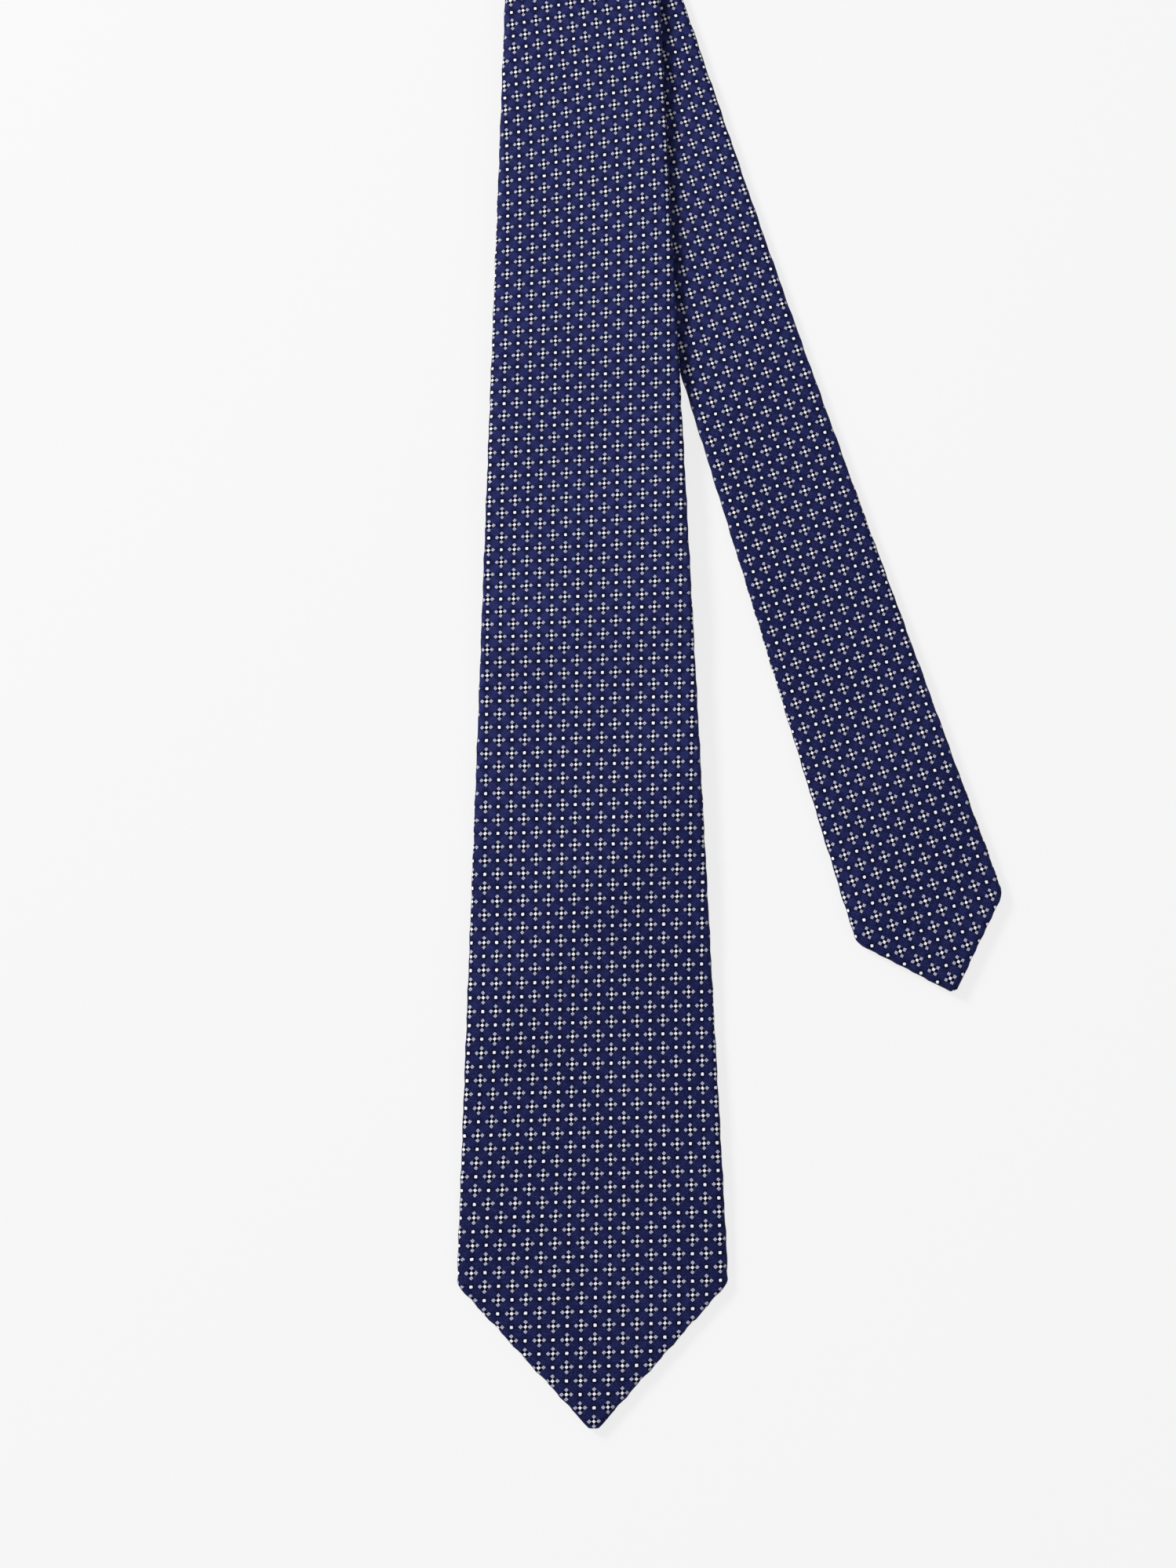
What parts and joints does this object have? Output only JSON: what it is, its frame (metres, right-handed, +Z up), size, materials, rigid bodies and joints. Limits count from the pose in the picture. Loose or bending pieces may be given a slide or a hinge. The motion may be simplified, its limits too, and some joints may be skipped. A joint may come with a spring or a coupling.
{
  "type": "necktie",
  "caption": "Bias-cut silk necktie with a pointed wide blade, padded folded body, keeper loop and narrow tail, laid flat with its neck folded behind and the tail fanned out",
  "frame": {"origin": "middle of the bounding box, on the surface that the tie lies on", "axes": "+Z up out of the surface, towards the blade's front; +Y from the wide point towards the neck; +X towards the fanned-out tail"},
  "size_m": [0.2272, 0.7556, 0.017],
  "materials": {
    "silk": "jacquard-woven silk, navy with small white dots and pale four-petal crosses, soft sheen",
    "interlining": "soft brushed wool-blend interlining, undyed",
    "lining": "smooth navy satin tipping",
    "label": "blank woven satin label",
    "care_label": "blank off-white woven tape",
    "thread": "navy silk sewing thread"
  },
  "bodies": {
    "neck_left": {"neck_shell_left": "silk", "tail_shell_top": "silk", "interlining_neck_left": "interlining", "slip_stitch_neck_left": "thread", "neck_fold_left": "silk", "interlining_fold_left": "interlining"},
    "tail": {"tail_shell": "silk", "tail_interlining": "interlining", "tail_tipping": "lining", "slip_stitch_tail": "thread", "tail_bar_tack": "thread", "care_label": "care_label", "care_label_stitch": "thread"},
    "neck_run": {"neck_shell_run": "silk", "interlining_run": "interlining", "slip_stitch_run": "thread", "neck_fold_right": "silk", "interlining_fold_right": "interlining"},
    "neck_right": {"neck_shell_right": "silk", "blade_shell_top": "silk", "interlining_neck_right": "interlining", "slip_stitch_neck_right": "thread"},
    "blade": {"blade_shell": "silk", "blade_interlining": "interlining", "blade_tipping": "lining", "slip_stitch_blade": "thread", "blade_bar_tack": "thread", "keeper_loop": "silk", "keeper_tack_left": "thread", "keeper_tack_right": "thread", "blank_label": "label", "label_stitch_left": "thread", "label_stitch_right": "thread"}
  },
  "joints": [
    {"name": "left_neck_fold", "type": "hinge", "parent": "neck_left", "child": "neck_run", "pos_m": [-0.10109, 0.35189, 0.00515], "axis": [-0.5141, -0.8578, 0], "range_deg": [0, 175], "deforming": ["neck_fold_left", "interlining_fold_left"]},
    {"name": "right_neck_fold", "type": "hinge", "parent": "neck_run", "child": "neck_right", "pos_m": [-0.00148, 0.36158, 0.01195], "axis": [-0.766, 0.6429, 0], "range_deg": [0, 180], "deforming": ["neck_fold_right", "interlining_fold_right"]},
    {"name": "blade_lift", "type": "hinge", "parent": "neck_right", "child": "blade", "pos_m": [-0.00391, 0.18222, 0.01174], "axis": [1, 0.008, 0], "range_deg": [-150, 0]},
    {"name": "tail_swing", "type": "hinge", "parent": "neck_left", "child": "tail", "pos_m": [-0.03994, 0.16059, 0.00215], "axis": [0, 0, 1], "range_deg": [0, 15]}
  ]
}
